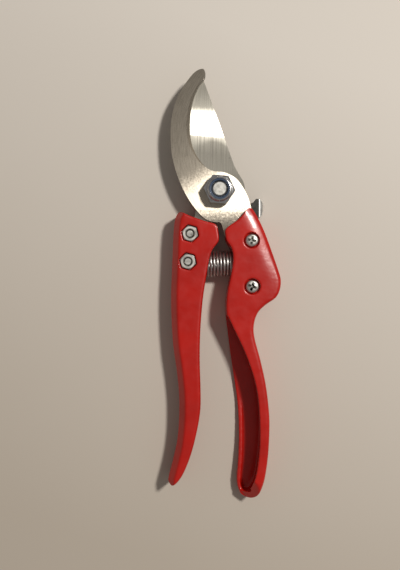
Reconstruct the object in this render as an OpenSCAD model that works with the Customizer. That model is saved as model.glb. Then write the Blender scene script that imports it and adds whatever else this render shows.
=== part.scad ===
// Bypass pruning shears: a hooked counter blade and a cutting blade on one pivot, two cast handles,
// a compression spring between them and a thumb catch that locks them closed.
// Drawn closed, lying on its back. Plan outlines are measured from the pivot axis.

/* [Stack] */
// Height of the cutting blade's back face above the table
blade_z = 6.5; // [6:0.1:7]
// Thickness of the cutting blade
blade_t = 3; // [2.5:0.1:3.2]
// Thickness of the counter blade
hook_t = 3.3; // [3:0.1:3.6]
// Sliding gap between the two blades
blade_gap = 0.05; // [0.03:0.01:0.1]

/* [Handles] */
// Thickness of both handles
handle_h = 17; // [16.5:0.5:18]
// Thickness of the handles' front and back flanges
flange_t = 2.8; // [2:0.1:3.2]
// Thickness of the handles' outer wall
wall_t = 3.2; // [2.5:0.1:4]
// Height of the lip along the open edge of the hollow, at the handle's end
lip_h = 7; // [4:0.5:9]

/* [Pivot] */
// Radius of the pivot bolt
pivot_r = 4; // [3.5:0.1:4.2]
// Running clearance of the cutting blade and the catch on their pivots
run_gap = 0.04; // [0.02:0.01:0.08]
// Width across flats of the pivot nut
pivot_flats = 13; // [12:0.5:14]
// Height of the pivot nut
pivot_nut_h = 8; // [7:0.5:9]

/* [Handle fasteners] */
// Radius of the handle bolts
bolt_r = 2; // [1.8:0.1:2.2]
// Width across flats of their nuts
nut_flats = 7; // [6.5:0.1:7.2]
// Radius of their pan heads
head_r = 3.3; // [3:0.1:3.5]

/* [Spring] */
// Outer diameter of the spring
spring_d = 12.2; // [11:0.1:12.4]
// Diameter of the spring wire
wire_d = 1.1; // [0.9:0.05:1.2]
// Number of turns
spring_turns = 11; // [9:1:12]

/* [Hidden] */
$fn = 64;
eps = 0.01;
curve_steps = 4;

// Centre of the whole outline, measured from the pivot axis
origin_xy = [2.4, -44.8];

blade_top = blade_z + blade_t;
hook_z = blade_top + blade_gap;
hook_top = hook_z + hook_t;

blade_bolts = [[-13.9, -20.7], [-14.9, -33.9]];
handle_bolts = [[15.3, -23.9], [15.5, -45.7]];

washer_t = 1.2;
washer_r = 8.5;
bolt_head_h = 4.5;
tip_depth = 0.4;
collar_r = 5.7;
insert_r = 4.9;
insert_h = 2;
nut_h = 3.2;
head_h = 2.2;
head_edge_r = 0.9;
recess_l = 3.8;
recess_w = 0.9;
recess_h = 1.3;
recess_turn = 20;
hex_corner = 0.96;
hex_corner_slope = 0.55;
sink = 0.3;
hole_gap = 0.15;
counterbore_gap = 0.45;
nut_pocket_gap = 0.7;
back_pocket_gap = 0.5;
thread_gap = 0.02;
bolt_short = 0.6;
left_nut_turn = -16;
right_nut_turn = 9;

spring_y = -34.7;
spring_z = 8.1;
spring_left = -7.4;
spring_right = 9.6;
spring_seat_depth = 0.4;
spring_gap = 0.35;

catch_at = [13.5, -12.5];
catch_t = 2.4;
catch_z = hook_z - 0.1 - catch_t;
catch_pin_r = 2;
catch_sweep = 6.6;
catch_thread_h = 2.2;
catch_screw_in = 2;
catch_washer_t = 0.6;
catch_washer_gap = 0.05;
catch_head_h = 2;
catch_pad_h = 4.4;

// ---- outlines, as points along smooth curves ----

function spline_point(a, b, c, d, t) =
    0.5 * (2 * b + (c - a) * t + (2 * a - 5 * b + 4 * c - d) * t * t + (3 * b - a - 3 * c + d) * t * t * t);

function spline(p, n = curve_steps) = concat(
    [for (i = [0:len(p) - 2]) for (j = [0:n - 1])
        spline_point(p[max(i - 1, 0)], p[i], p[i + 1], p[min(i + 2, len(p) - 1)], j / n)],
    [p[len(p) - 1]]);

function reversed(p) = [for (i = [len(p) - 1:-1:0]) p[i]];

// Normal on the left of the direction of travel
function normal_at(p, i) =
    let (d = p[min(i + 1, len(p) - 1)] - p[max(i - 1, 0)]) [-d[1], d[0]] / norm(d);

function shifted(p, d) = [for (i = [0:len(p) - 1]) p[i] + normal_at(p, i) * d];

function closed_spline(p, n = curve_steps) = let (m = len(p))
    [for (i = [0:m - 1]) for (j = [0:n - 1])
        spline_point(p[(i + m - 1) % m], p[i], p[(i + 1) % m], p[(i + 2) % m], j / n)];

function closed_blend(w, n = curve_steps) = let (m = len(w))
    [for (i = [0:m - 1]) for (j = [0:n - 1]) w[i] + (w[(i + 1) % m] - w[i]) * j / n];

function loop_normal(p, i) = let (n = len(p), d = p[(i + 1) % n] - p[(i + n - 1) % n])
    [-d[1], d[0]] / norm(d);

function arc(centre, r, from, to, n = 8) =
    [for (i = [0:n]) let (a = from + (to - from) * i / n) centre + r * [cos(a), sin(a)]];

// Counter blade: convex outer edge from the tip to the hub, then the tang, then the concave mouth
hook_outer = spline([[-7.6, 57.9], [-9.4, 57.7], [-12.5, 55.6], [-17.2, 49.4], [-20.8, 42.2], [-22.8, 34],
    [-23.2, 25], [-22.4, 16], [-20, 7.2], [-16.2, -1.4], [-11.6, -8.5], [-6.8, -13.4], [-2.5, -15],
    [0, -15]]);
hook_tang = concat(
    spline([[0, -15], [1, -15.9], [2, -19.3], [3.2, -23], [6.4, -26.2], [9.6, -28], [11, -30.4], [11, -40],
        [9.5, -46]], 3),
    arc([15.5, -46], 6, 180, 360, 12),
    spline([[21.5, -46], [22.4, -38], [20.6, -26], [17.2, -16], [15.2, -8.4]], 3));
hook_mouth = spline([[15.2, -8.4], [13.6, -3], [10.8, 2.2], [7.4, 6.2], [2.2, 8.7], [-3.9, 9.5], [-8.7, 13.6],
    [-12.3, 19.8], [-13.9, 27], [-13.8, 36], [-12.3, 44.1], [-9.8, 50], [-7.5, 52.9], [-6.6, 55],
    [-7, 57.1]]);

// Cutting blade: spine from the tip to the hub, the hub, the tang, and the convex cutting edge
blade_spine = [[-7.5, 53.4], [-5.4, 47.8], [-2.2, 39.2], [0.8, 31], [2.9, 24.6], [7.2, 12.4]];
blade_hub = concat(
    spline([[7.2, 12.4], [8.9, 9.2], [11.2, 5.5]], 3),
    arc([0, 0], 12.5, 25, -16, 6),
    [[10.8, -3.4], [10.2, -5.2]],
    arc([0, 0], 12.5, -31, -85, 8));
blade_tang = concat(
    spline([[1.1, -12.5], [-3, -13.5], [-6.4, -17], [-8.2, -24], [-9.4, -34]], 3),
    arc([-14.9, -34], 5.5, 0, -180, 12),
    spline([[-20.4, -34], [-20.3, -26], [-19.6, -20.5], [-17.2, -17], [-13.4, -14.6], [-11.6, -11.6],
    [-11.5, -7],
        [-12.8, 0]], 3));
blade_edge = spline([[-12.8, 0], [-13, 5], [-14.6, 11], [-16.8, 17.5], [-18, 24], [-18, 31], [-16.6, 38],
    [-13.9, 44.5], [-10.6, 49.8], [-7.5, 53.4]]);

// Left handle: [x, y, edge radius] from its top corner down the outer side, round the end and back up
left_points = [[-18.9, -10.4, 0.7], [-20.2, -11.6, 1.2], [-21.2, -14.6, 2], [-21.9, -22, 2.6],
    [-22.3, -33, 2.8],
    [-22.9, -47, 2.8], [-22.8, -60, 2.8], [-21.9, -74, 2.8], [-20.2, -86, 2.8], [-19.1, -98, 2.8],
    [-19.2, -110, 2.8], [-20.3, -120.5, 2.7], [-22.3, -129.5, 2.4], [-24, -135.8, 2], [-24.2, -138.2, 1.6],
    [-22.5, -139.9, 1.6], [-20.2, -138.6, 1.2], [-17, -134, 1.1], [-13.4, -125, 1.3], [-10.6, -114, 1.3],
    [-9, -104, 1.3], [-8.9, -94, 1.3], [-9.3, -80, 1.3], [-9, -66, 1.3], [-7.9, -52, 1.2], [-6.3, -41.5, 1],
    [-4.8, -32.8, 0.8], [-3.4, -28.4, 0.7], [-1, -25.2, 0.6], [-0.2, -23.2, 0.6], [-0.7, -19, 0.7],
    [-1.3, -17, 0.6], [-3, -15.8, 0.6], [-6.8, -14.8, 0.7], [-13.4, -12.5, 0.7], [-17.2, -10.8, 0.6]];
left_outline = closed_spline([for (p = left_points) [p[0], p[1]]]);
left_radii = closed_blend([for (p = left_points) p[2]]);
left_outer = [for (i = [0:15 * curve_steps]) left_outline[i]];
// Inner edge of the back flange where the grip is hollow
left_cut = spline([[-7.4, -58], [-9.6, -64], [-12.2, -72], [-14.1, -80], [-14.8, -88], [-14.3, -98],
    [-14.1, -108], [-15, -118], [-17, -127], [-19.3, -133.5], [-20.6, -134.6]]);

// Right handle: [x, y, edge radius] along the top, down the outer side, round the end and back up
right_points = [[2.8, -21.4, 0.6], [2.7, -19.2, 0.6], [4.2, -17.3, 0.6], [8.6, -14.2, 0.7],
    [11.4, -11.2, 0.7],
    [13, -9.3, 0.6], [14.3, -8.6, 0.5], [15.7, -9.2, 0.6], [18, -12.9, 1], [21.4, -20.1, 1.4],
    [25.2, -30.4, 1.6],
    [28, -38.6, 1.6], [29, -42.6, 1.4], [28.6, -47, 1.4], [26.6, -51, 1.4], [21.6, -54.6, 1.6],
    [18, -58.4, 1.6],
    [16.3, -64, 1.6], [16.6, -70, 1.6], [19.4, -80.6, 1.6], [21.9, -92, 1.6], [23.4, -104, 1.6],
    [23.7, -113, 1.6], [23.1, -125, 1.6], [21.6, -136, 1.8], [19.9, -142, 2.2], [17.6, -145.9, 2.5],
    [14.3, -147.5, 2.6], [11, -146.2, 2.2], [9.2, -143.4, 1.4], [8.6, -139.5, 0.8], [9.4, -129, 0.8],
    [9.8, -116, 0.8],
    [9, -101, 0.8], [6.2, -82, 0.8], [4.4, -68, 0.8], [3.2, -57, 0.8], [3.6, -49, 0.8], [5.6, -39, 0.8],
    [6.4, -32, 0.8], [5.6, -27.6, 0.7], [3.4, -24.2, 0.6]];
right_outline = closed_spline([for (p = right_points) [p[0], p[1]]]);
right_radii = closed_blend([for (p = right_points) p[2]]);
right_outer = [for (i = [7 * curve_steps:27 * curve_steps]) right_outline[i]];
right_inner = [for (i = [27 * curve_steps:37 * curve_steps]) right_outline[i]];
// Inner edge of the front flange where the grip is hollow
right_cut = spline([[3.9, -59.5], [7.3, -66.7], [11.5, -75.6], [15.1, -85], [17.6, -94.5], [18.8, -105],
    [19.1, -119], [17.9, -131.5], [16, -139], [13.6, -142.8], [11, -143.6]]);

// ---- shared pieces ----

module at_origin() {
    translate([-origin_xy[0], -origin_xy[1], 0]) children();
}

module slab(outline, z, h) {
    translate([0, 0, z]) linear_extrude(h) polygon(outline);
}

module hole(at, r, z, h) {
    translate([at[0], at[1], z]) cylinder(r = r, h = h);
}

module hex_hole(at, flats, z, h, turn = 0) {
    translate([at[0], at[1], z]) rotate([0, 0, turn]) cylinder(d = flats / cos(30), h = h, $fn = 6);
}

// Cuts a bevel along an edge, tapering to nothing at both ends. Depth is positive down from a front face
// and negative up from a back face.
module edge_bevel(edge, width, z, depth, inward) {
    over = 0.4;
    taper = 12;
    n = len(edge);
    slope = depth / width;
    w = [for (i = [0:n - 1]) width * min(1, i / taper, (n - 1 - i) / taper)];
    points = concat(
        [for (i = [0:n - 1]) let (p = edge[i] + normal_at(edge, i) * inward * w[i]) [p[0], p[1], z]],
        [for (i = [0:n - 1]) let (p = edge[i] - normal_at(edge, i) * inward * over)
            [p[0], p[1], z - slope * (w[i] + over)]],
        [for (i = [0:n - 1]) let (p = edge[i] - normal_at(edge, i) * inward * over)
            [p[0], p[1], z + sign(depth) * over]],
        [for (i = [0:n - 1]) let (p = edge[i] + normal_at(edge, i) * inward * w[i])
            [p[0], p[1], z + sign(depth) * over]]);
    sides = [for (i = [0:n - 2]) for (k = [0:3]) [k * n + i, ((k + 1) % 4) * n + i,
        ((k + 1) % 4) * n + i + 1, k * n + i + 1]];
    ends = [[0, 3 * n, 2 * n, n], [n - 1, 2 * n - 1, 3 * n - 1, 4 * n - 1]];
    faces = concat(sides, ends);
    polyhedron(points, inward * depth > 0 ? faces : [for (f = faces) reversed(f)]);
}

// Cuts a rounded edge round a whole outline, on the front (up = 1) or the back (up = -1). The inside of
// the outline is on the left of its direction when side = 1.
module edge_round(loop, radii, z, up, side) {
    over = 0.1;
    reach = 3.73 * over;
    n = len(loop);
    points = [for (i = [0:n - 1]) let (r = radii[i], t = loop_normal(loop, i) * side)
        for (s = [[r + reach, -over], [r * 0.5, r * 0.134], [r * 0.134, r * 0.5], [-over, r + reach],
        [-over, -over]])
            [loop[i][0] + t[0] * s[0], loop[i][1] + t[1] * s[0], z - up * s[1]]];
    faces = [for (i = [0:n - 1]) for (k = [0:4]) let (j = (i + 1) % n, m = (k + 1) % 5)
        [i * 5 + k, i * 5 + m, j * 5 + m, j * 5 + k]];
    polyhedron(points, side * up > 0 ? faces : [for (f = faces) reversed(f)]);
}

// Chamfers the corners of a nut or a hexagonal head at one end
module hex_prism(flats, h, chamfer_top, chamfer_bottom) {
    r = flats / cos(30) / 2;
    c = r - flats / 2 * hex_corner;
    drop = (c + eps) * hex_corner_slope;
    intersection() {
        cylinder(r = r, h = h, $fn = 6);
        rotate_extrude() polygon([[0, 0], [chamfer_bottom ? r - c : r + eps, 0],
            [r + eps, chamfer_bottom ? drop : 0], [r + eps, chamfer_top ? h - drop : h],
            [chamfer_top ? r - c : r + eps, h], [0, h]]);
    }
}

// Cross recess, pointing down from z = 0
module cross_recess() {
    for (turn = [0, 90]) rotate([0, 0, turn + recess_turn])
        translate([-recess_l / 2, -recess_w / 2, -recess_h])
        cube([recess_l, recess_w, recess_h + 0.1]);
}

// Pan head screw along +Z with its head on top, its seat at z = 0
module pan_bolt(length) {
    difference() {
        union() {
            rotate_extrude() polygon(concat([[0, 0], [head_r, 0], [head_r, head_h - head_edge_r]],
                arc([head_r - head_edge_r, head_h - head_edge_r], head_edge_r, 20, 90, 5), [[0, head_h]]));
            translate([0, 0, -length]) cylinder(r = bolt_r, h = length + eps);
        }
        translate([0, 0, head_h]) cross_recess();
    }
}

module hex_nut(flats, h, bore) {
    difference() {
        hex_prism(flats, h, true, true);
        translate([0, 0, -1]) cylinder(r = bore, h = h + 2);
    }
}

// ---- blades ----

module counter_blade() {
    bevel_w = 1.6;
    bevel_h = 1.5;
    color([0.72, 0.7, 0.66]) at_origin() difference() {
        slab(concat(hook_outer, hook_tang, hook_mouth), hook_z, hook_t);
        hole([0, 0], pivot_r + thread_gap, hook_z - 1, hook_t + 2);
        for (b = handle_bolts) hole(b, bolt_r + hole_gap, hook_z - 1, hook_t + 2);
        hole(catch_at, catch_pin_r + thread_gap, hook_z - 1, 1 + catch_thread_h);
        edge_bevel(spline([[-3.9, 9.5], [-8.7, 13.6], [-12.3, 19.8], [-13.9, 27], [-13.8, 36], [-12.3, 44.1],
            [-9.8, 50], [-7.5, 52.9]]), bevel_w, hook_top, bevel_h, 1);
    }
}

module cutting_blade() {
    grind_w = 4.5;
    grind_h = 2.6;
    color([0.78, 0.78, 0.76]) at_origin() difference() {
        slab(concat(blade_spine, blade_hub, blade_tang, blade_edge), blade_z, blade_t);
        hole([0, 0], pivot_r + run_gap, blade_z - 1, blade_t + 2);
        for (b = blade_bolts) hole(b, bolt_r + hole_gap, blade_z - 1, blade_t + 2);
        edge_bevel(spline([[-13, 5], [-14.6, 11], [-16.8, 17.5], [-18, 24], [-18, 31], [-16.6, 38],
            [-13.9, 44.5],
            [-10.6, 49.8], [-7.5, 53.4]]), grind_w, blade_z, -grind_h, -1);
    }
}

// ---- handles ----

// Hollow of a grip: everything inside the outer wall, open past the inner edge
module hollow(outer, inner_side, from_y, to_y, z, h) {
    wall = [for (p = outer) if (p[1] < from_y && p[1] > to_y) p];
    translate([0, 0, z]) linear_extrude(h) polygon(concat(wall,
        [[inner_side, wall[len(wall) - 1][1]], [inner_side, wall[0][1]]]));
}

// Round seat for an end of the spring, with a tapered boss in its middle
module spring_seat(x, face) {
    seat_h = 14;
    boss_h = 5;
    boss_tip_d = 6.4;
    translate([x, spring_y, spring_z]) rotate([0, face * 90, 0]) difference() {
        translate([0, 0, -spring_seat_depth]) cylinder(d = spring_d + 2 * spring_gap, h = seat_h);
        translate([0, 0, -1])
            cylinder(d1 = spring_d - 2 * wire_d - 2 * spring_gap, d2 = boss_tip_d, h = boss_h);
    }
}

module left_handle() {
    color([0.76, 0.13, 0.11]) at_origin() difference() {
        slab(left_outline, 0, handle_h);
        // slot for the blade's tang, open to the top
        slab(concat([[0.4, -9], [-2.4, -13.4], [-6, -17.1], [-7.8, -24], [-9, -34]],
            arc([-14.9, -34], 5.9, 0, -180, 12),
            [[-20.8, -34], [-20.7, -26], [-20, -20.3], [-17.6, -16.6], [-13.8, -14.1], [-12.1, -11.4],
            [-12, -8]]),
            blade_z - eps, blade_t + 2 * eps);
        edge_round(left_outline, left_radii, handle_h, 1, 1);
        edge_round(left_outline, left_radii, 0, -1, 1);
        for (b = blade_bolts) {
            hole(b, bolt_r + hole_gap, -1, handle_h + 2);
            hex_hole(b, nut_flats + nut_pocket_gap, handle_h - nut_h - sink, nut_h + 1, left_nut_turn);
            hole(b, head_r + counterbore_gap, -1, 1 + head_h + sink);
        }
        spring_seat(spring_left, 1);
        hollow(shifted(left_outer, wall_t), 0, -60, -136, flange_t, handle_h - 2 * flange_t);
        slab(concat(left_cut, [[-12, -136], [0, -120], [0, -58]]), -1, 1 + handle_h - flange_t);
    }
}

// Wall along the open side of the right grip, highest at the handle's end and sloping down from there
module right_lip() {
    lip_t = 1.9;
    lip_slope = 5.2;
    end_y = -145.5;
    intersection() {
        slab(concat(right_inner, reversed(shifted(right_inner, -lip_t))), 0, handle_h);
        translate([0, end_y, lip_h]) rotate([-lip_slope, 0, 0]) translate([-5, -10, -30]) cube([30, 62, 30]);
    }
}

// Takes the front of the right handle's end down to the lip, along a slope that starts on the flange
module end_slope() {
    start = [17.8, -139.5];
    turn = 37;
    fall = 30;
    translate([start[0], start[1], handle_h]) rotate([0, 0, turn]) rotate([0, -fall, 0])
        translate([-40, -20, 0]) cube([40, 40, 20]);
}

module right_handle() {
    color([0.76, 0.13, 0.11]) at_origin() union() {
        difference() {
            slab(right_outline, 0, handle_h);
            // slot for the counter blade's tang, open to the top and to the inner side
            slab(concat([[-2, -13], [1.8, -23.2], [5.6, -26.8], [9, -28.6], [10.6, -30.6], [10.6, -40],
                [9, -46]],
                arc([15.5, -46], 6.5, 180, 360, 12), [[23, -38], [21.2, -26], [17.8, -16], [16.5, -5],
                [0, -5]]),
                hook_z - eps, hook_t + 2 * eps);
            // room for the catch behind the counter blade
            hole(catch_at, catch_sweep, -1, hook_z + 1 - eps);
            edge_round(right_outline, right_radii, handle_h, 1, -1);
            edge_round(right_outline, right_radii, 0, -1, -1);
            for (b = handle_bolts) {
                hole(b, bolt_r + hole_gap, -1, handle_h + 2);
                hole(b, head_r + counterbore_gap, handle_h - head_h - sink, head_h + 1);
                hex_hole(b, nut_flats + back_pocket_gap, -1, 1 + nut_h + sink, right_nut_turn);
            }
            spring_seat(spring_right, -1);
            hollow(shifted(right_outer, -wall_t), 0, -61, -146, flange_t, handle_h - 2 * flange_t);
            slab(concat(right_cut, [[0, -143.6], [0, -59.5]]), flange_t, handle_h);
            end_slope();
        }
        right_lip();
    }
}

// ---- pivot ----

module pivot_bolt() {
    tip = hook_top + pivot_nut_h - tip_depth;
    head_z = blade_z - blade_gap - washer_t - bolt_head_h;
    chamfer = 0.9;
    color([0.7, 0.7, 0.68]) at_origin() union() {
        translate([0, 0, head_z]) hex_prism(pivot_flats, bolt_head_h, false, true);
        rotate_extrude() polygon([[0, head_z + 1], [pivot_r, head_z + 1], [pivot_r, tip - chamfer],
            [pivot_r - chamfer, tip],
            [0, tip]]);
    }
}

module pivot_washer() {
    color([0.7, 0.7, 0.68]) at_origin() translate([0, 0, blade_z - blade_gap - washer_t]) difference() {
        cylinder(r = washer_r, h = washer_t);
        translate([0, 0, -1]) cylinder(r = pivot_r + 0.1, h = washer_t + 2);
    }
}

module pivot_nut() {
    hex_h = pivot_nut_h - insert_h;
    turn = -2;
    color([0.72, 0.73, 0.76]) at_origin() translate([0, 0, hook_top]) difference() {
        union() {
            rotate([0, 0, turn]) hex_prism(pivot_flats, hex_h, true, true);
            rotate_extrude() polygon([[0, 1], [collar_r, 1], [collar_r, pivot_nut_h - 1],
                [collar_r - 0.3, pivot_nut_h - 0.3],
                [collar_r - 0.8, pivot_nut_h], [0, pivot_nut_h]]);
        }
        translate([0, 0, -1]) cylinder(r = pivot_r + thread_gap, h = pivot_nut_h + 2);
        translate([0, 0, hex_h - tip_depth]) cylinder(r = insert_r, h = pivot_nut_h);
    }
}

module nut_insert() {
    color([0.2, 0.32, 0.5]) at_origin()
    translate([0, 0, hook_top + pivot_nut_h - insert_h - tip_depth]) difference() {
        cylinder(r = insert_r, h = insert_h);
        translate([0, 0, -1]) cylinder(r = pivot_r + thread_gap, h = insert_h + 2);
    }
}

// ---- handle fasteners ----

module blade_bolt(at) {
    color([0.7, 0.7, 0.68]) at_origin() translate([at[0], at[1], head_h + sink]) mirror([0, 0, 1])
        pan_bolt(handle_h - head_h - 2 * sink - bolt_short);
}

module blade_nut(at) {
    color([0.7, 0.7, 0.68]) at_origin()
        translate([at[0], at[1], handle_h - sink - nut_h]) rotate([0, 0, left_nut_turn])
        hex_nut(nut_flats, nut_h, bolt_r + thread_gap);
}

module handle_bolt(at) {
    color([0.7, 0.7, 0.68]) at_origin() translate([at[0], at[1], handle_h - head_h - sink])
        pan_bolt(handle_h - head_h - 2 * sink - bolt_short);
}

module handle_nut(at) {
    color([0.7, 0.7, 0.68]) at_origin() translate([at[0], at[1], sink]) rotate([0, 0, right_nut_turn])
        hex_nut(nut_flats, nut_h, bolt_r + thread_gap);
}

// ---- spring: a round wire wound along X, with a flattened pitch at both ends ----

module main_spring() {
    sides = 8;
    steps = 16;
    n = spring_turns * steps;
    length = spring_right - spring_left - wire_d;
    coil_r = (spring_d - wire_d) / 2;
    function centre(i) = let (a = 360 * i / steps)
        [spring_left + wire_d / 2 + length * i / n, coil_r * cos(a), coil_r * sin(a)];
    points = [for (i = [0:n]) for (k = [0:sides - 1])
        let (a = 360 * i / steps, b = 360 * k / sides, c = centre(i), r = wire_d / 2)
        [c[0] + r * sin(b), c[1] + r * cos(b) * cos(a), c[2] + r * cos(b) * sin(a)]];
    walls = [for (i = [0:n - 1]) for (k = [0:sides - 1])
        [i * sides + k, i * sides + (k + 1) % sides, (i + 1) * sides + (k + 1) % sides, (i + 1) * sides + k]];
    caps = [[for (k = [sides - 1:-1:0]) k], [for (k = [0:sides - 1]) n * sides + k]];
    color([0.6, 0.6, 0.62]) at_origin()
        translate([0, spring_y, spring_z]) polyhedron(points, concat(walls, caps));
}

// ---- thumb catch ----

module thumb_catch() {
    pad = spline([[17.8, -3.5], [19.6, -3.8], [21, -5.6], [21.3, -7.6], [21.1, -9.6], [20.3, -11.7],
        [18.8, -13.1]], 3);
    arm = concat([[9.6, -10.8], [11.45, -5.95], [11.75, -5.3], [12.6, -4.9], [13.3, -5.6], [13.9, -7.2],
        [14.7, -7.4],
        [15.5, -6.4]], pad, arc(catch_at, 4.3, -12, -190, 12));
    scallop_r = 0.6;
    inner = [[17.9, -12.6], [19.1, -11.4], [19.8, -8.8], [19.6, -6.4], [17.9, -4.4]];
    color([0.45, 0.45, 0.45]) at_origin() difference() {
        union() {
            slab(arm, catch_z, catch_t);
            slab(concat(pad, inner), catch_z - catch_pad_h, catch_t + catch_pad_h);
        }
        hole(catch_at, catch_pin_r + run_gap, catch_z - 1, catch_t + 2);
        for (p = [[21.7, -5.5], [21.95, -7.7], [21.6, -9.9]]) hole(p, scallop_r, 0, hook_top);
    }
}

module catch_washer() {
    color([0.7, 0.7, 0.68]) at_origin()
    translate([catch_at[0], catch_at[1], catch_z - catch_washer_t - catch_washer_gap]) difference() {
        cylinder(r = 3.9, h = catch_washer_t);
        translate([0, 0, -1]) cylinder(r = catch_pin_r + 0.1, h = 3);
    }
}

module catch_screw() {
    head_z = catch_z - catch_washer_t - catch_washer_gap - catch_head_h;
    slot_w = 0.9;
    slot_h = 0.8;
    color([0.7, 0.7, 0.68]) at_origin() translate([catch_at[0], catch_at[1], 0]) difference() {
        union() {
            translate([0, 0, head_z]) rotate_extrude() polygon([[0, 0], [2.6, 0], [3.5, 0.8],
                [3.5, catch_head_h],
                [0, catch_head_h]]);
            translate([0, 0, head_z + 1]) cylinder(r = catch_pin_r, h = hook_z + catch_screw_in - head_z - 1);
        }
        translate([-4, -slot_w / 2, head_z - 1]) cube([8, slot_w, 1 + slot_h]);
    }
}

right_handle();
left_handle();
counter_blade();
cutting_blade();
pivot_bolt();
pivot_washer();
pivot_nut();
nut_insert();
blade_bolt(blade_bolts[0]);  // blade_bolt_upper
blade_bolt(blade_bolts[1]);  // blade_bolt_lower
blade_nut(blade_bolts[0]);  // blade_nut_upper
blade_nut(blade_bolts[1]);  // blade_nut_lower
handle_bolt(handle_bolts[0]);  // handle_bolt_upper
handle_bolt(handle_bolts[1]);  // handle_bolt_lower
handle_nut(handle_bolts[0]);  // handle_nut_upper
handle_nut(handle_bolts[1]);  // handle_nut_lower
main_spring();
thumb_catch();
catch_screw();
catch_washer();
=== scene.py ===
import bpy
import bmesh
import math
import numpy as np
from mathutils import Matrix, Vector


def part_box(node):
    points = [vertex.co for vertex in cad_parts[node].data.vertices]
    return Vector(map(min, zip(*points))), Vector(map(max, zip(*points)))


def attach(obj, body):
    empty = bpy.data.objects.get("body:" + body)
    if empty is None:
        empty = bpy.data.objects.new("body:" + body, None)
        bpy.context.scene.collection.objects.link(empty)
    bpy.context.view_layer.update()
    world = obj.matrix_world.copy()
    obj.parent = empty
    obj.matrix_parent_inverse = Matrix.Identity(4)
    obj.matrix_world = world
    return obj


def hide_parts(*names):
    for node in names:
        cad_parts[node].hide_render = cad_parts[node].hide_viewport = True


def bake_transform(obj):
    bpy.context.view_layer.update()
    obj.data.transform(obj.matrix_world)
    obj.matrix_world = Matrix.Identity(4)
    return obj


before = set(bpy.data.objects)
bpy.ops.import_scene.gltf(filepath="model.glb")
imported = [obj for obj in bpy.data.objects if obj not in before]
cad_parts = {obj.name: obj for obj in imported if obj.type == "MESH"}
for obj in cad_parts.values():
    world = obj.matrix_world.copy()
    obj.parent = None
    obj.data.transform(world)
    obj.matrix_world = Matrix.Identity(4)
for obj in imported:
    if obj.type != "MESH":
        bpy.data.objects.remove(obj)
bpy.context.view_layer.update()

MM = 0.001


# ---- places, read from the frame ----

def low(node):
    return Vector(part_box(node)[0])


def high(node):
    return Vector(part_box(node)[1])


def middle(node):
    return (low(node) + high(node)) / 2


PIVOT = middle("pivot_washer")
HANDLE_TOP = high("right_handle").z
HOOK_TOP = high("counter_blade").z
BLADE_TOP = high("cutting_blade").z

# the cutting blade is ground thinner above a line, and dished a little below it
GRIND_LINE = PIVOT + Vector((-5.8, 26.4, 0)) * MM
GRIND_ACROSS = Vector((0.085, 1, 0)).normalized()
GRIND_LENGTH = 11.6 * MM
GRIND_SLOPE = math.tan(math.radians(1.5))
DISH_AT = PIVOT + Vector((-3.4, 14.5, 0)) * MM
DISH_R = 10 * MM
DISH_DEPTH = 0.12 * MM

# the centres of the arcs that the grinding lines follow
HOOK_ARC = PIVOT + Vector((36.8, 21.4, 0)) * MM
BLADE_ARC = PIVOT + Vector((400, 10, 0)) * MM

# where the front of the right grip's end starts to slope down to its lip
GRIP_END = PIVOT + Vector((18, -139.5, 0)) * MM
LIP_HEIGHT = 7 * MM

# sizes of the fasteners, as the CAD model has them
PIVOT_FLATS = 13 * MM
PIVOT_BOLT_R = 4 * MM
PIVOT_HEX_HEIGHT = 6 * MM
BOLT_R = 2 * MM
BOLT_PITCH = 0.7 * MM
PAN_HEIGHT = 2.2 * MM


# ---- mesh making ----

def cad_mesh(node, merge=1e-6):
    """A copy of a CAD node's mesh, with the seams between its faces closed."""
    bm = bmesh.new()
    bm.from_mesh(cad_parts[node].data)
    bmesh.ops.remove_doubles(bm, verts=bm.verts, dist=merge)
    return bm


def make_object(name, bm):
    mesh = bpy.data.meshes.new(name)
    bm.to_mesh(mesh)
    bm.free()
    obj = bpy.data.objects.new(name, mesh)
    bpy.context.scene.collection.objects.link(obj)
    return obj


def applied(obj):
    """Replaces the object's mesh with what its modifiers make of it."""
    depsgraph = bpy.context.evaluated_depsgraph_get()
    mesh = bpy.data.meshes.new_from_object(obj.evaluated_get(depsgraph))
    obj.modifiers.clear()
    obj.data = mesh
    return obj


def shade(obj, angle):
    """Smooth shading with sharp edges past an angle, where the large faces keep their own direction."""
    obj.data.shade_smooth()
    obj.data.set_sharp_from_angle(angle=math.radians(angle))
    weighted = obj.modifiers.new("weighted", "WEIGHTED_NORMAL")
    weighted.keep_sharp = True
    return applied(obj)


def finish_piece(obj, body, material, slot, *nodes):
    obj.data.materials.clear()
    obj.data.materials.append(material)
    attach(obj, body)
    if nodes:
        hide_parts(*nodes)
    return obj


def ring(radius, z, centre, count=96):
    """A ring of points. radius and z are numbers, or functions of the angle."""
    points = []
    for i in range(count):
        a = 2 * math.pi * i / count
        r = radius(a) if callable(radius) else radius
        h = z(a) if callable(z) else z
        points.append(Vector((centre.x + r * math.cos(a), centre.y + r * math.sin(a), h)))
    return points


def skin(bm, rings, closed=False):
    """Joins rings of equally many points by quads, each ring to the next."""
    loops = [[bm.verts.new(p) for p in points] for points in rings]
    pairs = list(zip(loops, loops[1:]))
    if closed:
        pairs.append((loops[-1], loops[0]))
    for a, b in pairs:
        n = len(a)
        for i in range(n):
            j = (i + 1) % n
            bm.faces.new((a[i], a[j], b[j], b[i]))
    return loops


def cap(bm, loop):
    """Closes a ring with a fan around its middle."""
    centre = bm.verts.new(sum((v.co for v in loop), Vector()) / len(loop))
    for i in range(len(loop)):
        bm.faces.new((loop[i], loop[(i + 1) % len(loop)], centre))


def tidy_normals(bm):
    bmesh.ops.recalc_face_normals(bm, faces=bm.faces)


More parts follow.
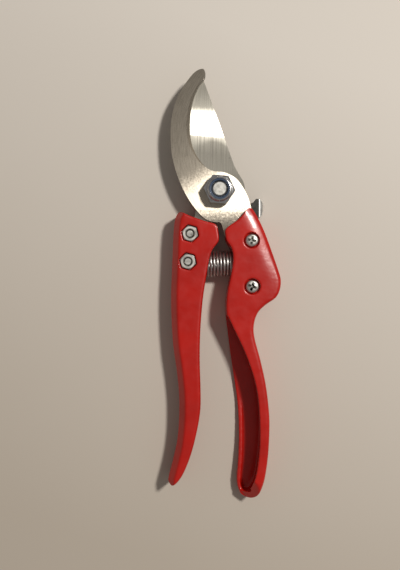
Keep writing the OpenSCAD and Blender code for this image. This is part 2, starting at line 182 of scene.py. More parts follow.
def turned(profile, centre, count=96):
    """A solid turned about a vertical axis: profile runs along (radius, z) from the axis back to the axis."""
    bm = bmesh.new()
    loops = skin(bm, [ring(r, z, centre, count) for r, z in profile])
    cap(bm, loops[0])
    cap(bm, loops[-1])
    tidy_normals(bm)
    return bm


def hex_radius(flats, turn):
    """The distance from the middle of a hexagon to its edge, as a function of the angle."""
    def radius(a):
        t = (a - turn) % (math.pi / 3) - math.pi / 6
        return flats / 2 / math.cos(t)
    return radius


def hexagon_rings(flats, z_low, z_high, turn, centre, low_chamfer=True, high_chamfer=True):
    """Rings up the outside of a hexagon whose corners are turned off to a cone."""
    corner = hex_radius(flats, turn)
    round_r = flats / 2 * 0.955
    slope = math.tan(math.radians(30))
    count = 96
    rings = []
    if low_chamfer:
        rings.append(ring(round_r, z_low, centre, count))
        rings.append(ring(corner, lambda a: z_low + (corner(a) - round_r) * slope, centre, count))
    else:
        rings.append(ring(corner, z_low, centre, count))
    if high_chamfer:
        rings.append(ring(corner, lambda a: z_high - (corner(a) - round_r) * slope, centre, count))
        rings.append(ring(round_r, z_high, centre, count))
    else:
        rings.append(ring(corner, z_high, centre, count))
    return rings


def cut(obj, cutter_bm):
    """Takes a closed mesh out of an object."""
    cutter = make_object("cutter", cutter_bm)
    modifier = obj.modifiers.new("cut", "BOOLEAN")
    modifier.object = cutter
    modifier.solver = "EXACT"
    applied(obj)
    bpy.data.objects.remove(cutter)
    return obj


# ---- node materials ----

class Shader:
    """A Principled material with short ways to add the nodes used here."""

    def __init__(self, name, colour, metallic=0.0, roughness=0.4):
        self.material = bpy.data.materials.new(name)
        self.material.use_nodes = True
        self.nodes = self.material.node_tree.nodes
        self.links = self.material.node_tree.links
        self.surface = self.nodes["Principled BSDF"]
        self.surface.inputs["Base Color"].default_value = (*colour, 1)
        self.surface.inputs["Metallic"].default_value = metallic
        self.surface.inputs["Roughness"].default_value = roughness
        self.coordinates = self.nodes.new("ShaderNodeTexCoord").outputs["Object"]
        self.height = None

    def noise(self, scale, detail=3.0, vector=None, roughness=0.5):
        node = self.nodes.new("ShaderNodeTexNoise")
        node.inputs["Scale"].default_value = scale
        node.inputs["Detail"].default_value = detail
        node.inputs["Roughness"].default_value = roughness
        self.links.new(vector or self.coordinates, node.inputs["Vector"])
        return node.outputs["Fac"]

    def ramp(self, value, low_in, high_in, low_out, high_out):
        node = self.nodes.new("ShaderNodeMapRange")
        node.inputs["From Min"].default_value = low_in
        node.inputs["From Max"].default_value = high_in
        node.inputs["To Min"].default_value = low_out
        node.inputs["To Max"].default_value = high_out
        self.links.new(value, node.inputs["Value"])
        return node.outputs["Result"]

    def mix(self, factor, first, second):
        node = self.nodes.new("ShaderNodeMix")
        node.data_type = "RGBA"
        self.links.new(factor, node.inputs["Factor"])
        for socket, value in ((node.inputs["A"], first), (node.inputs["B"], second)):
            if isinstance(value, tuple):
                socket.default_value = (*value, 1)
            else:
                self.links.new(value, socket)
        return node.outputs["Result"]

    def math(self, operation, first, second):
        node = self.nodes.new("ShaderNodeMath")
        node.operation = operation
        for socket, value in zip(node.inputs, (first, second)):
            if isinstance(value, (int, float)):
                socket.default_value = value
            else:
                self.links.new(value, socket)
        return node.outputs["Value"]

    def colour(self, value):
        self.links.new(value, self.surface.inputs["Base Color"])

    def roughness(self, value):
        self.links.new(value, self.surface.inputs["Roughness"])

    def bump(self, value, distance, strength=1.0):
        node = self.nodes.new("ShaderNodeBump")
        node.inputs["Strength"].default_value = strength
        node.inputs["Distance"].default_value = distance
        self.links.new(value, node.inputs["Height"])
        if self.height:
            self.links.new(self.height, node.inputs["Normal"])
        self.height = node.outputs["Normal"]
        self.links.new(self.height, self.surface.inputs["Normal"])

    def pointed(self):
        """Above 0.5 along outer edges, below it in corners."""
        return self.nodes.new("ShaderNodeNewGeometry").outputs["Pointiness"]

    def edges(self, low_in=0.5, high_in=0.56):
        """1 along sharp outer edges, 0 on flats and in corners."""
        return self.ramp(self.pointed(), low_in, high_in, 0, 1)

    def sides(self):
        """1 where the surface faces sideways, 0 where it faces up or down."""
        split = self.nodes.new("ShaderNodeSeparateXYZ")
        self.links.new(self.nodes.new("ShaderNodeNewGeometry").outputs["Normal"], split.inputs["Vector"])
        return self.ramp(self.math("ABSOLUTE", split.outputs["Z"], 0), 0.3, 0.6, 1, 0)

    def towards(self, place):
        """The direction from each point of the surface to a place."""
        node = self.nodes.new("ShaderNodeVectorMath")
        node.operation = "SUBTRACT"
        node.inputs[0].default_value = place
        self.links.new(self.coordinates, node.inputs[1])
        return node.outputs["Vector"]

    def distance(self, origin, direction):
        """How far each point of the surface lies from a place, along a direction."""
        node = self.nodes.new("ShaderNodeVectorMath")
        node.operation = "DOT_PRODUCT"
        node.inputs[0].default_value = -Vector(direction)
        self.links.new(self.towards(origin), node.inputs[1])
        return node.outputs["Value"]

    def brushed(self, amount, angle):
        """Spreads the gloss along a direction at an angle from the x axis, square to the grinding lines."""
        self.surface.inputs["Anisotropic"].default_value = amount
        across = self.nodes.new("ShaderNodeCombineXYZ")
        self.links.new(self.math("COSINE", angle, 0), across.inputs["X"])
        self.links.new(self.math("SINE", angle, 0), across.inputs["Y"])
        turn = self.nodes.new("ShaderNodeVectorTransform")
        turn.vector_type = "VECTOR"
        turn.convert_from = "OBJECT"
        turn.convert_to = "WORLD"
        self.links.new(across.outputs["Vector"], turn.inputs["Vector"])
        self.links.new(turn.outputs["Vector"], self.surface.inputs["Tangent"])

    def rings_round(self, centre, across, along):
        """Coordinates that follow rings round a centre: one across the rings, one along them."""
        spoke = self.towards(centre)
        split = self.nodes.new("ShaderNodeSeparateXYZ")
        self.links.new(spoke, split.inputs["Vector"])
        length = self.nodes.new("ShaderNodeVectorMath")
        length.operation = "LENGTH"
        self.links.new(spoke, length.inputs[0])
        angle = self.math("ARCTAN2", split.outputs["Y"], split.outputs["X"])
        joined = self.nodes.new("ShaderNodeCombineXYZ")
        self.links.new(self.math("MULTIPLY", length.outputs["Value"], across), joined.inputs["X"])
        self.links.new(self.math("MULTIPLY", angle, along), joined.inputs["Y"])
        self.links.new(split.outputs["Z"], joined.inputs["Z"])
        return joined.outputs["Vector"]


def red_coating():
    s = Shader("red_coating", (0.45, 0.012, 0.006), roughness=0.34)
    s.surface.inputs["Coat Weight"].default_value = 0.2
    s.surface.inputs["Coat Roughness"].default_value = 0.12
    s.surface.inputs["Specular IOR Level"].default_value = 0.35
    broad = s.noise(60, 4)
    fine = s.noise(900, 2)
    body = s.mix(s.ramp(broad, 0.35, 0.65, 0, 1), (0.43, 0.007, 0.003), (0.51, 0.010, 0.005))
    worn = s.math("MULTIPLY", s.edges(0.515, 0.57), s.ramp(s.noise(350, 4), 0.45, 0.7, 0, 1))
    s.colour(s.mix(s.math("MULTIPLY", worn, 0.25), body, (0.62, 0.08, 0.06)))
    s.roughness(s.ramp(s.noise(220, 4), 0.3, 0.7, 0.28, 0.42))
    s.bump(s.noise(420, 2), 0.00012, 0.5)
    s.bump(fine, 0.00002, 0.5)
    return s.material


def ground_steel(name, colour, dark, roughness, centre, streak):
    """Ground steel: fine lines round a centre, cloudy patches, a few dark specks, and sideways faces painted
    dark as painted shade, also made rougher and less metallic.
    """
    s = Shader(name, colour, metallic=1.0, roughness=roughness)
    lines = s.noise(1, 4, s.rings_round(centre, 2600, 9), 0.6)
    clouds = s.noise(240, 4)
    specks = s.noise(900, 3)
    body = s.mix(s.ramp(lines, 0.5 - 0.25 / streak, 0.5 + 0.25 / streak, 0, 1), dark, colour)
    body = s.mix(s.ramp(clouds, 0.5, 0.75, 0, 0.35), body, dark)
    body = s.mix(s.ramp(specks, 0.66, 0.74, 0, 0.5), body, tuple(0.45 * v for v in dark))
    # painted shade: faces turned sideways get a much darker colour, besides more roughness and less metal
    side = s.sides()
    s.colour(s.mix(side, body, tuple(0.3 * v for v in dark)))
    s.links.new(s.ramp(side, 0, 1, 1, 0), s.surface.inputs["Metallic"])
    gloss = s.ramp(lines, 0.25, 0.75, roughness - 0.04 * streak, roughness + 0.04 * streak)
    s.roughness(s.math("ADD", gloss, s.math("MULTIPLY", side, 0.35)))
    s.bump(lines, 0.00001, 0.3 * streak)
    s.bump(specks, 0.00001, 0.25)
    s.lines = lines
    return s


def hook_steel():
    """Ground in lines that turn at the hub, so that it shines there and is dull on the hook and the bevel."""
    s = ground_steel("hook_steel", (0.62, 0.56, 0.47), (0.46, 0.41, 0.335), 0.28, HOOK_ARC, 0.7)
    uneven = s.ramp(s.noise(1100, 5), 0.3, 0.7, -2.2 * MM, 2.2 * MM)
    up = s.math("ADD", s.distance(PIVOT, (-0.5, 0.85, 0)), uneven)
    down = s.math("ADD", s.distance(PIVOT, (0, -1, 0)), uneven)
    above = s.ramp(up, 5 * MM, 14.7 * MM, math.radians(21.7), math.radians(36.9))
    below = s.ramp(down, 8 * MM, 17 * MM, 0, math.radians(-27))
    bevel = s.ramp(s.distance((0, 0, HOOK_TOP), (0, 0, -1)), 0.02 * MM, 0.1 * MM, 0, math.radians(65))
    s.brushed(0.85, s.math("ADD", s.math("ADD", above, below), bevel))
    return s.material


def blade_steel():
    """Ground lengthwise, with a band above the grind line that was ground at another angle."""
    s = ground_steel("blade_steel", (0.7, 0.67, 0.59), (0.6, 0.57, 0.49), 0.28, BLADE_ARC, 1.0)
    across = s.distance(GRIND_LINE, GRIND_ACROSS)
    ragged = s.ramp(s.lines, 0.3, 0.7, -1.2 * MM, 1.2 * MM)
    start = s.ramp(s.math("ADD", across, s.math("MULTIPLY", ragged, 0.25)), -0.3 * MM, 0.2 * MM, 0, 1)
    end = s.ramp(s.math("ADD", across, ragged), GRIND_LENGTH - 1.2 * MM, GRIND_LENGTH + 2.4 * MM, 1, 0)
    glow = s.ramp(s.math("ADD", across, ragged), -8 * MM, 0, 0.12, 0.62)
    lower = s.ramp(s.math("MAXIMUM", start, glow), 0, 1, math.radians(-17.4), 0)
    past = s.math("ADD", across, ragged)
    upper = s.ramp(past, GRIND_LENGTH, 2 * GRIND_LENGTH, math.radians(-16), math.radians(-30))
    rest = s.math("SUBTRACT", 1, end)
    s.brushed(0.88, s.math("ADD", s.math("MULTIPLY", lower, end), s.math("MULTIPLY", upper, rest)))
    return s.material


def plated(name, colour, roughness=0.2, grime_and_shade=(0.10, 0.09, 0.08)):
    s = Shader(name, colour, metallic=1.0, roughness=roughness)
    spots = s.noise(500, 5)
    worn = s.mix(s.edges(0.5, 0.6), tuple(0.82 * v for v in colour), tuple(min(1, 1.1 * v) for v in colour))
    # painted shade: concave corners are painted towards the grime colour; the noise spots are dirt
    corners = s.ramp(s.pointed(), 0.40, 0.485, 0.9, 0)
    dirt_and_corner_shade = s.math("MAXIMUM", s.ramp(spots, 0.52, 0.72, 0, 0.5), corners)
    s.colour(s.mix(dirt_and_corner_shade, worn, grime_and_shade))
    s.roughness(s.ramp(s.noise(350, 4), 0.3, 0.7, roughness - 0.07, roughness + 0.14))
    s.bump(s.noise(1500, 3), 0.00001, 0.4)
    return s.material


def nylon():
    s = Shader("nylon_ring", (0.03, 0.05, 0.09), roughness=0.35)
    s.colour(s.mix(s.noise(700, 3), (0.02, 0.035, 0.07), (0.045, 0.08, 0.15)))
    s.roughness(s.ramp(s.noise(900, 2), 0.3, 0.7, 0.35, 0.55))
    s.bump(s.noise(1200, 2), 0.00003, 0.4)
    return s.material


def spring_wire():
    s = Shader("spring_wire", (0.62, 0.6, 0.58), metallic=1.0, roughness=0.36)
    s.colour(s.mix(s.noise(600, 4), (0.5, 0.48, 0.46), (0.72, 0.7, 0.68)))
    s.roughness(s.ramp(s.noise(800, 3), 0.3, 0.7, 0.28, 0.42))
    s.bump(s.noise(2500, 2), 0.00001, 0.3)
    return s.material


def dark_plate():
    s = Shader("catch_plate", (0.1, 0.1, 0.095), metallic=1.0, roughness=0.33)
    base = s.mix(s.ramp(s.noise(260, 4), 0.3, 0.7, 0, 1), (0.03, 0.03, 0.027), (0.07, 0.07, 0.063))
    # painted highlight: the right-hand rim and the sharp edges are painted near white
    painted_rim_highlight = s.ramp(s.distance(middle("thumb_catch"), (1, 0, 0)), 3.6 * MM, 4.8 * MM, 0, 1)
    s.colour(s.mix(s.math("MAXIMUM", painted_rim_highlight, s.edges(0.52, 0.6)), base, (0.7, 0.7, 0.68)))
    s.roughness(s.ramp(s.noise(500, 3), 0.3, 0.7, 0.28, 0.45))
    s.bump(s.noise(1100, 3), 0.00002, 0.4)
    return s.material


def floor_material():
    s = Shader("pale_floor", (0.7, 0.65, 0.59), roughness=0.75)
    s.surface.inputs["Specular IOR Level"].default_value = 0.25
    cloud = s.ramp(s.noise(6, 4), 0.3, 0.7, -0.01, 0.01)
    # painted light: the floor is painted lighter towards the upper right and darker towards the lower left,
    # as the lamp's falloff
    fade = s.distance((0, 0, 0), (0.35, 0.94, 0))
    painted_light_falloff = s.ramp(s.math("ADD", fade, cloud), -0.14, 0.12, 0, 1)
    s.colour(s.mix(painted_light_falloff, (0.52, 0.46, 0.39), (0.72, 0.675, 0.62)))
    s.bump(s.noise(400, 3), 0.0001, 0.15)
    return s.material


RED = red_coating()
HOOK_STEEL = hook_steel()
BLADE_STEEL = blade_steel()
PLATED = plated("bright_plating", (0.66, 0.65, 0.61), 0.36)
CHROMED = plated("nut_plating", (0.66, 0.67, 0.69), 0.16)
NYLON = nylon()
WIRE = spring_wire()
DARK = dark_plate()


# ---- handles ----

def side_edge(node, side, step=3 * MM):
    """The x of a handle's outer side against y, from its CAD mesh: side is -1 for the left, 1 for right."""
    places = np.array([v.co[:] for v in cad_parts[node].data.vertices])
    bins = np.arange(places[:, 1].min(), places[:, 1].max() + step, step)
    ys, xs = [], []
    for a, b in zip(bins, bins[1:]):
        here = places[(places[:, 1] >= a) & (places[:, 1] < b)]
        if len(here):
            best = here[np.argmax(here[:, 0] * side)]
            ys.append(best[1])
            xs.append(best[0])
    return np.array(ys), np.array(xs)


def mesh_points(mesh):
    flat = np.empty(len(mesh.vertices) * 3, dtype=np.float64)
    mesh.vertices.foreach_get("co", flat)
    return flat.reshape(-1, 3)


def set_points(mesh, points):
    mesh.vertices.foreach_set("co", points.reshape(-1))
    mesh.update()


def smoothstep(x, a, b):
    t = np.clip((x - a) / (b - a), 0, 1)
    return t * t * (3 - 2 * t)


def remeshed(obj, voxel, rounds):
    """Rebuilds a mesh from small cubes and smooths it, which rounds every edge a little."""
    remesh = obj.modifiers.new("remesh", "REMESH")
    remesh.mode = "VOXEL"
    remesh.voxel_size = voxel
    smooth = obj.modifiers.new("smooth", "SMOOTH")
    smooth.factor = 0.5
    smooth.iterations = rounds
    return applied(obj)


def lowered_end(obj, node):
    """Takes the front of the right grip's end down to its lip, and smooths that end."""
    points = mesh_points(obj.data)
    run = (GRIP_END.x - points[:, 0]) * 0.8 + (GRIP_END.y - points[:, 1]) * 0.6
    lip = low(node).z + LIP_HEIGHT
    points[:, 2] = np.minimum(points[:, 2], np.maximum(HANDLE_TOP - 1.1 * np.clip(run, 0, None), lip))
    set_points(obj.data, points)
    group = obj.vertex_groups.new(name="end")
    weights = smoothstep(-points[:, 1], -GRIP_END.y - 2 * MM, -GRIP_END.y + 2 * MM)
    for i in np.flatnonzero(weights):
        group.add([int(i)], float(weights[i]), "REPLACE")
    blend = obj.modifiers.new("end", "SMOOTH")
    blend.vertex_group = "end"
    blend.factor = 0.5
    blend.iterations = 70
    return applied(obj)


def soft_slope(inside, band, slope, soft):
    """How far the surface has dropped, by its distance from the outer side: a slope that starts softly."""
    return slope * soft * np.logaddexp(0, (band - inside) / soft)


def sloped_side(obj, node, side, band, slope, crown):
    """A sloping band along the outer side of both faces, and a crown near the top of the front."""
    points = mesh_points(obj.data)
    ys, xs = side_edge(node, side)
    inside = (np.interp(points[:, 1], ys, xs) - points[:, 0]) * side
    fall = soft_slope(inside, band, slope, 0.25 * MM)
    round_off = soft_slope(inside, 5.5 * MM, crown, 1.2 * MM)
    round_off *= smoothstep(points[:, 1], PIVOT.y - 58 * MM, PIVOT.y - 26 * MM)
    points[:, 2] = np.clip(points[:, 2], fall, HANDLE_TOP - fall - round_off)
    set_points(obj.data, points)


def casting(node, name):
    """The handle as a casting, every edge softened."""
    return remeshed(make_object(name, cad_mesh(node)), 0.3 * MM, 9)


left = casting("left_handle", "left_handle_cast")
sloped_side(left, "left_handle", -1, 3.0 * MM, 1.4, 0)
left.data.shade_smooth()
finish_piece(left, "moving_half", RED, "red_coat", "left_handle")

right = casting("right_handle", "right_handle_cast")
lowered_end(right, "right_handle")
sloped_side(right, "right_handle", 1, 1.2 * MM, 0.5, 0.25)
right.data.shade_smooth()
finish_piece(right, "fixed_half", RED, "red_coat", "right_handle")


# ---- blades ----

def ground_plate(node):
    """A steel plate from its CAD mesh, with its flat faces whole again and its edges left sharp."""
    bm = cad_mesh(node)
    bmesh.ops.dissolve_limit(bm, angle_limit=math.radians(0.6), verts=bm.verts, edges=bm.edges)
    return bm


def sliced(bm, places, direction):
    """Cuts every face along planes square to a direction, without parting them."""
    for place in places:
        everything = list(bm.verts) + list(bm.edges) + list(bm.faces)
        bmesh.ops.bisect_plane(bm, geom=everything, plane_co=place, plane_no=direction, dist=1e-7)


def thinning(points):
    """How far the cutting blade's front lies below flat: a slope above the grind line, and a shallow dish."""
    across = (points[:, 0] - GRIND_LINE.x) * GRIND_ACROSS.x + (points[:, 1] - GRIND_LINE.y) * GRIND_ACROSS.y
    soft = 0.5 * MM
    slope = np.clip(across, 0, GRIND_LENGTH)
    corner = np.clip(1 - np.abs(across) / soft, 0, 1) ** 2 * soft / 4
    end = np.clip(1 - np.abs(across - GRIND_LENGTH) / soft, 0, 1) ** 2 * soft / 4
    away = np.hypot(points[:, 0] - DISH_AT.x, points[:, 1] - DISH_AT.y) / DISH_R
    dish = DISH_DEPTH * np.clip(1 - away ** 2, 0, 1)
    return GRIND_SLOPE * (slope + corner - end) + dish


def cutting_blade():
    bm = ground_plate("cutting_blade")
    steps = [-0.5, -0.25, 0, 0.25, 0.5] + [1.5 * i for i in range(1, 8)]
    steps += [11.1, 11.35, 11.6, 11.85, 12.1, 14, 17, 20]
    sliced(bm, [GRIND_LINE + GRIND_ACROSS * d * MM for d in steps], GRIND_ACROSS)
    for i in range(-10, 11):
        sliced(bm, [DISH_AT + Vector((i * 1.0 * MM, 0, 0))], Vector((1, 0, 0)))
        sliced(bm, [DISH_AT + Vector((0, i * 1.0 * MM, 0))], Vector((0, 1, 0)))
    bmesh.ops.triangulate(bm, faces=bm.faces)
    tidy_normals(bm)
    obj = make_object("cutting_blade_ground", bm)
    points = mesh_points(obj.data)
    base = low("cutting_blade").z
    points[:, 2] -= thinning(points) * (points[:, 2] - base) / (BLADE_TOP - base)
    set_points(obj.data, points)
    return shade(obj, 20)


def counter_blade():
    bm = ground_plate("counter_blade")
    bmesh.ops.triangulate(bm, faces=bm.faces)
    tidy_normals(bm)
    return shade(make_object("counter_blade_ground", bm), 20)


finish_piece(counter_blade(), "fixed_half", HOOK_STEEL, "blade_steel", "counter_blade")
finish_piece(cutting_blade(), "moving_half", BLADE_STEEL, "cutting_steel", "cutting_blade")


# ---- pivot ----

def threaded(r, z_low, z_high, pitch, depth):
    """Profile points up a threaded shank, as a stack of ridges."""
    points = []
    z = z_low
    while z + pitch < z_high:
        points += [(r - depth, z), (r, z + pitch * 0.4), (r, z + pitch * 0.6)]
        z += pitch
    return points + [(r - depth, z)]


def pivot_bolt():
    lo, hi = low("pivot_bolt"), high("pivot_bolt")
    r = PIVOT_BOLT_R
    washer_low = low("pivot_washer").z
    corner = hex_radius(PIVOT_FLATS, 0)
    bm = bmesh.new()
    rings = [ring(5.6 * MM, lo.z + 0.12 * MM, PIVOT), ring(5.9 * MM, lo.z, PIVOT)]
    rings += hexagon_rings(PIVOT_FLATS, lo.z, washer_low, 0, PIVOT, True, False)[:2]
    rings += [ring(corner, washer_low - 0.4 * MM, PIVOT), ring(r, washer_low - 0.4 * MM, PIVOT)]
    shank = [(r, HOOK_TOP)] + threaded(r, HOOK_TOP + 4 * MM, hi.z - 1.1 * MM, 1 * MM, 0.45 * MM)
    shank += [(r - 0.35 * MM, hi.z - 0.75 * MM), (r - 0.9 * MM, hi.z - 0.1 * MM), (r - 1.05 * MM, hi.z)]
    rings += [ring(q, z, PIVOT) for q, z in shank]
    loops = skin(bm, rings)
    cap(bm, loops[0])
    cap(bm, loops[-1])
    tidy_normals(bm)
    return shade(make_object("pivot_bolt_turned", bm), 25)


def locknut():
    """A hexagon with a rolled collar on top that holds a plastic ring."""
    z0 = low("pivot_nut").z
    top = high("pivot_nut").z
    turn = math.radians(-4.5)
    hex_top = z0 + PIVOT_HEX_HEIGHT
    bm = bmesh.new()
    rings = [ring(4.05 * MM, z0 + 0.5 * MM, PIVOT), ring(4.6 * MM, z0, PIVOT)]
    rings += hexagon_rings(PIVOT_FLATS, z0, hex_top, turn, PIVOT)
    collar = [(5.95, 0.02), (5.82, 0.2), (5.78, 0.8), (5.72, 1.3), (5.58, 1.65), (5.35, 1.88), (5.1, 1.98),
              (4.95, 2.0), (4.85, 1.95), (4.8, 1.8), (4.8, 0.9), (4.05, 0.9)]
    rings += [ring(r * MM, hex_top + z * (top - hex_top) / 2, PIVOT) for r, z in collar]
    skin(bm, rings, closed=True)
    tidy_normals(bm)
    return shade(make_object("pivot_nut_turned", bm), 24)


def plastic_ring():
    z1 = high("nut_insert").z
    z0 = low("nut_insert").z + 1.1 * MM
    profile = [(4.78, 0), (4.78, 0.9), (4.6, 1.0), (4.3, 0.98), (4.02, 0.82), (3.9, 0.6), (3.9, 0)]
    scale = (z1 - z0) / (1.0 * MM)
    bm = bmesh.new()
    skin(bm, [ring(r * MM, z0 + z * MM * scale, PIVOT) for r, z in profile], closed=True)
    tidy_normals(bm)
    return shade(make_object("nut_insert_ring", bm), 40)


def washer(name, node, bore, wave=0.0):
    lo, hi = low(node), high(node)
    c = middle(node)
    outer = (hi.x - lo.x) / 2
    edge = 0.15 * MM

    def z(base):
        return lambda a: base + wave * math.cos(3 * a)
    rings = [ring(bore, z(lo.z + wave), c), ring(outer - edge, z(lo.z + wave), c),
             ring(outer, z(lo.z + wave + edge), c), ring(outer, z(hi.z - wave - edge), c),
             ring(outer - edge, z(hi.z - wave), c), ring(bore, z(hi.z - wave), c)]
    bm = bmesh.new()
    skin(bm, rings, closed=True)
    tidy_normals(bm)
    return shade(make_object(name, bm), 30)


finish_piece(pivot_bolt(), "fixed_half", PLATED, "plated_bolt", "pivot_bolt")
finish_piece(locknut(), "fixed_half", CHROMED, "plated_nut", "pivot_nut")
finish_piece(plastic_ring(), "fixed_half", NYLON, "blue_insert", "nut_insert")
flat_washer = washer("pivot_washer_turned", "pivot_washer", 4.1 * MM)
finish_piece(flat_washer, "fixed_half", PLATED, "plated_bolt", "pivot_washer")
spring_washer = washer("catch_washer_pressed", "catch_washer", 2.1 * MM, 0.12 * MM)
finish_piece(spring_washer, "fixed_half", PLATED, "plated_bolt", "catch_washer")


# ---- handle fasteners ----

def cross_cutter(centre, top, turn, down):
    """One wing pair of a cross recess: a tapered slot, wide at the face and narrow at its foot."""
    bm = bmesh.new()
    sizes = [(2.3, 0.72, 0.3), (2.15, 0.62, 0), (0.6, 0.4, -1.9)]
    rings = []
    for length, width, z in sizes:
        corners = [(-length, -width), (length, -width), (length, width), (-length, width)]
        rings.append([Vector((x, y, z * (-1 if down else 1))) * MM for x, y in corners])
    loops = skin(bm, rings)
    cap(bm, loops[0])
    cap(bm, loops[-1])
    place = Matrix.Translation((centre.x, centre.y, top)) @ Matrix.Rotation(turn, 4, "Z")
    bmesh.ops.transform(bm, matrix=place, verts=bm.verts)
    tidy_normals(bm)
    return bm


def pan_bolt(node, head_up, turn):
    """A cross-headed bolt: a domed head, a plain shank and a threaded, pointed end."""
    lo, hi = low(node), high(node)
    c = middle(node)
    head_r = (hi.x - lo.x) / 2 * 0.94
    head_h = PAN_HEIGHT
    top, end, sign = (hi.z, lo.z, 1) if head_up else (lo.z, hi.z, -1)
    dome = [(0.35, 0), (0.6, 0.06), (0.8, 0.2), (0.92, 0.42), (0.985, 0.7), (1.0, 1.05), (1.0, head_h / MM)]
    profile = [(head_r * f, top - sign * d * MM) for f, d in dome]
    r = BOLT_R
    neck = top - sign * head_h
    profile += [(r, neck), (r, (neck + end) / 2)]
    length = abs((neck + end) / 2 - end)
    turns = int(length / BOLT_PITCH) - 1
    for i in range(turns):
        z = (neck + end) / 2 - sign * i * BOLT_PITCH
        profile += [(r - 0.3 * MM, z - sign * 0.1 * MM), (r, z - sign * 0.35 * MM), (r, z - sign * 0.45 * MM)]
    profile += [(r - 0.3 * MM, end + sign * 0.5 * MM), (r - 0.35 * MM, end + sign * 0.2 * MM)]
    profile += [(r - 0.6 * MM, end)]
    obj = make_object(node + "_turned", turned(profile, c, 64))
    cut(obj, cross_cutter(c, top, turn, not head_up))
    cut(obj, cross_cutter(c, top, turn + math.pi / 2, not head_up))
    return shade(obj, 26)


def small_nut(node, turn):
    lo, hi = low(node), high(node)
    c = middle(node)
    bm = bmesh.new()
    rings = [ring(2.05 * MM, lo.z + 0.4 * MM, c), ring(2.4 * MM, lo.z, c)]
    rings += hexagon_rings(6.75 * MM, lo.z, hi.z, turn, c)
    rings += [ring(2.45 * MM, hi.z, c), ring(2.05 * MM, hi.z - 0.4 * MM, c)]
    skin(bm, rings, closed=True)
    tidy_normals(bm)
    return shade(make_object(node + "_pressed", bm), 24)


for place, turn in (("upper", -12), ("lower", -20)):
    node = "handle_bolt_" + place
    finish_piece(pan_bolt(node, True, math.radians(turn)), "fixed_half", PLATED, "plated_bolt", node)
    node = "blade_bolt_" + place
    finish_piece(pan_bolt(node, False, math.radians(turn * 2)), "moving_half", PLATED, "plated_bolt", node)
    node = "blade_nut_" + place
    finish_piece(small_nut(node, math.radians(-16)), "moving_half", PLATED, "plated_nut", node)
    node = "handle_nut_" + place
    finish_piece(small_nut(node, math.radians(9)), "fixed_half", PLATED, "plated_nut", node)


# ---- spring ----

def coil_spring():
    """A round wire wound between the two seats, its end turns lying flat against them."""
    lo, hi = low("main_spring"), high("main_spring")
    c = middle("main_spring")
    wire = 0.56 * MM
    coil = (hi.z - lo.z) / 2 - wire
    turns = 10.5
    steps, sides = 40, 14
    total = int(turns * steps)
    first, last = lo.x + wire, hi.x - wire
    flat = 0.9
    pitch = (last - first - 2 * flat * 2.04 * wire) / (turns - 2 * flat)

    def along(t):
        if t < flat:
            return first + t * 2.04 * wire
        if t > turns - flat:
            return last - (turns - t) * 2.04 * wire
        return first + flat * 2.04 * wire + (t - flat) * pitch
    rings = []
    for i in range(total + 1):
        t = i / steps
        a = 2 * math.pi * t + 1.1
        out = Vector((0, math.cos(a), math.sin(a)))
        centre = Vector((along(t), c.y, c.z)) + out * coil
        rings.append([centre + wire * (math.cos(b) * out + math.sin(b) * Vector((1, 0, 0)))
                      for b in (2 * math.pi * k / sides for k in range(sides))])
    bm = bmesh.new()
    loops = skin(bm, rings)
    cap(bm, loops[0])
    cap(bm, loops[-1])
    tidy_normals(bm)
    obj = make_object("main_spring_coil", bm)
    obj.data.shade_smooth()
    obj.data.materials.append(WIRE)
    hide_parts("main_spring")
    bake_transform(obj)
    return obj


coil_spring()


# ---- thumb catch ----

def pressed_catch():
    """The catch with softened edges, its front rounded over towards the thumb edge."""
    obj = remeshed(make_object("thumb_catch_pressed", cad_mesh("thumb_catch")), 0.1 * MM, 3)
    points = mesh_points(obj.data)
    top = high("thumb_catch")
    reach = 2.2 * MM
    over = np.clip((points[:, 0] - (top.x - reach)) / reach, 0, 1)
    front = smoothstep(points[:, 2], top.z - reach, top.z)
    points[:, 2] -= 1.5 * MM * over ** 2 * front
    set_points(obj.data, points)
    obj.data.shade_smooth()
    return obj


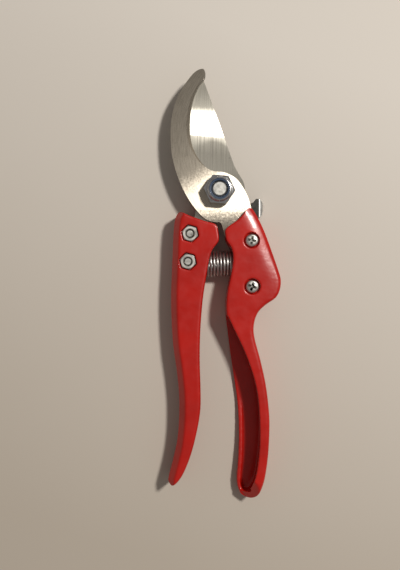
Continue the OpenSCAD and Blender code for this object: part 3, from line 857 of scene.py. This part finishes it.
def shoulder_screw():
    lo, hi = low("catch_screw"), high("catch_screw")
    c = middle("catch_screw")
    length = (hi.z - lo.z) / MM
    profile = [(2.3, 0), (2.75, 0.1), (3.4, 0.75), (3.5, 0.95), (3.5, 2.0), (2.0, 2.0), (2.0, length - 0.4),
               (1.7, length)]
    obj = make_object("catch_screw_turned", turned([(r * MM, lo.z + z * MM) for r, z in profile], c, 72))
    bm = bmesh.new()
    bmesh.ops.create_cube(bm, size=1)
    size = Matrix.Diagonal((9 * MM, 0.9 * MM, 1.6 * MM, 1))
    place = Matrix.Translation((c.x, c.y, lo.z)) @ Matrix.Rotation(math.radians(25), 4, "Z")
    bmesh.ops.transform(bm, matrix=place @ size, verts=bm.verts)
    cut(obj, bm)
    return shade(obj, 26)


finish_piece(pressed_catch(), "catch", DARK, "catch_steel", "thumb_catch")
finish_piece(shoulder_screw(), "fixed_half", PLATED, "plated_bolt", "catch_screw")


# ---- studio ----

def studio():
    bm = bmesh.new()
    bmesh.ops.create_grid(bm, x_segments=8, y_segments=8, size=2.0)
    floor = make_object("floor", bm)
    floor.data.materials.append(floor_material())
    world = bpy.data.worlds.new("studio")
    world.use_nodes = True
    background = world.node_tree.nodes["Background"]
    background.inputs["Color"].default_value = (1, 0.94, 0.88, 1)
    background.inputs["Strength"].default_value = 0.22
    bpy.context.scene.world = world


def key_light():
    """One soft square light from the upper right, aimed at the middle of the tool."""
    light = bpy.data.lights.new("key", "AREA")
    light.shape = "RECTANGLE"
    light.size = 0.13
    light.size_y = 0.13
    light.energy = 12.2
    light.color = (1, 0.96, 0.9)
    obj = bpy.data.objects.new("key", light)
    obj.location = Vector((0.5, 0.36, 1.0)) * 1.1
    obj.rotation_euler = (-obj.location).to_track_quat("-Z", "Y").to_euler()
    bpy.context.scene.collection.objects.link(obj)


def camera():
    """Straight above the tool, looking down."""
    data = bpy.data.cameras.new("camera")
    data.sensor_fit = "VERTICAL"
    data.angle = math.radians(41.6)
    obj = bpy.data.objects.new("camera", data)
    obj.location = PIVOT + Vector((-9.2, -45, 0)) * MM
    obj.location.z = 370 * MM
    bpy.context.scene.collection.objects.link(obj)
    bpy.context.scene.camera = obj


studio()
camera()
key_light()
bpy.context.scene.view_settings.view_transform = "Standard"
